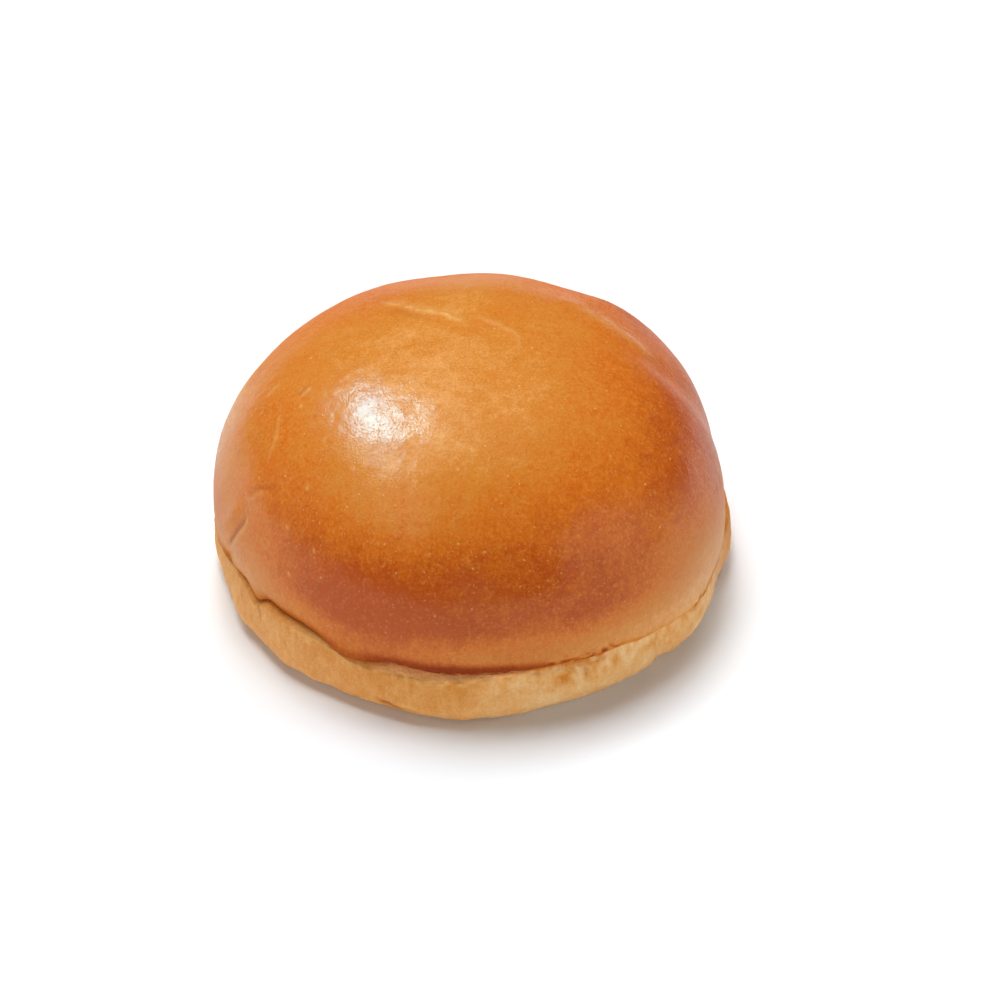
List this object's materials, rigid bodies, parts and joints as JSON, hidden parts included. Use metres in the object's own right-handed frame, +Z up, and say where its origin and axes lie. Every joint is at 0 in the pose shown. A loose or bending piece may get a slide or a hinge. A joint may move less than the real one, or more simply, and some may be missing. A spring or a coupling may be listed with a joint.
{
  "type": "burger bun",
  "caption": "Round uncut burger bun with a glazed golden-brown dome over a paler flat-bottomed heel, parted by a torn oven crease.",
  "frame": {"origin": "on the table under the middle of the bun's bounding box", "axes": "+Z up through the crown; -Y towards the front, the side the picture shows; +X to its right"},
  "size_m": [0.1044, 0.1046, 0.055],
  "materials": {
    "baked_crust": "baked bread crust: golden brown under a thin egg-wash gloss on the dome, pale tan and matt on the heel, torn crumb in the crease"
  },
  "bodies": {
    "root": {"bun": "baked_crust"}
  },
  "joints": []
}
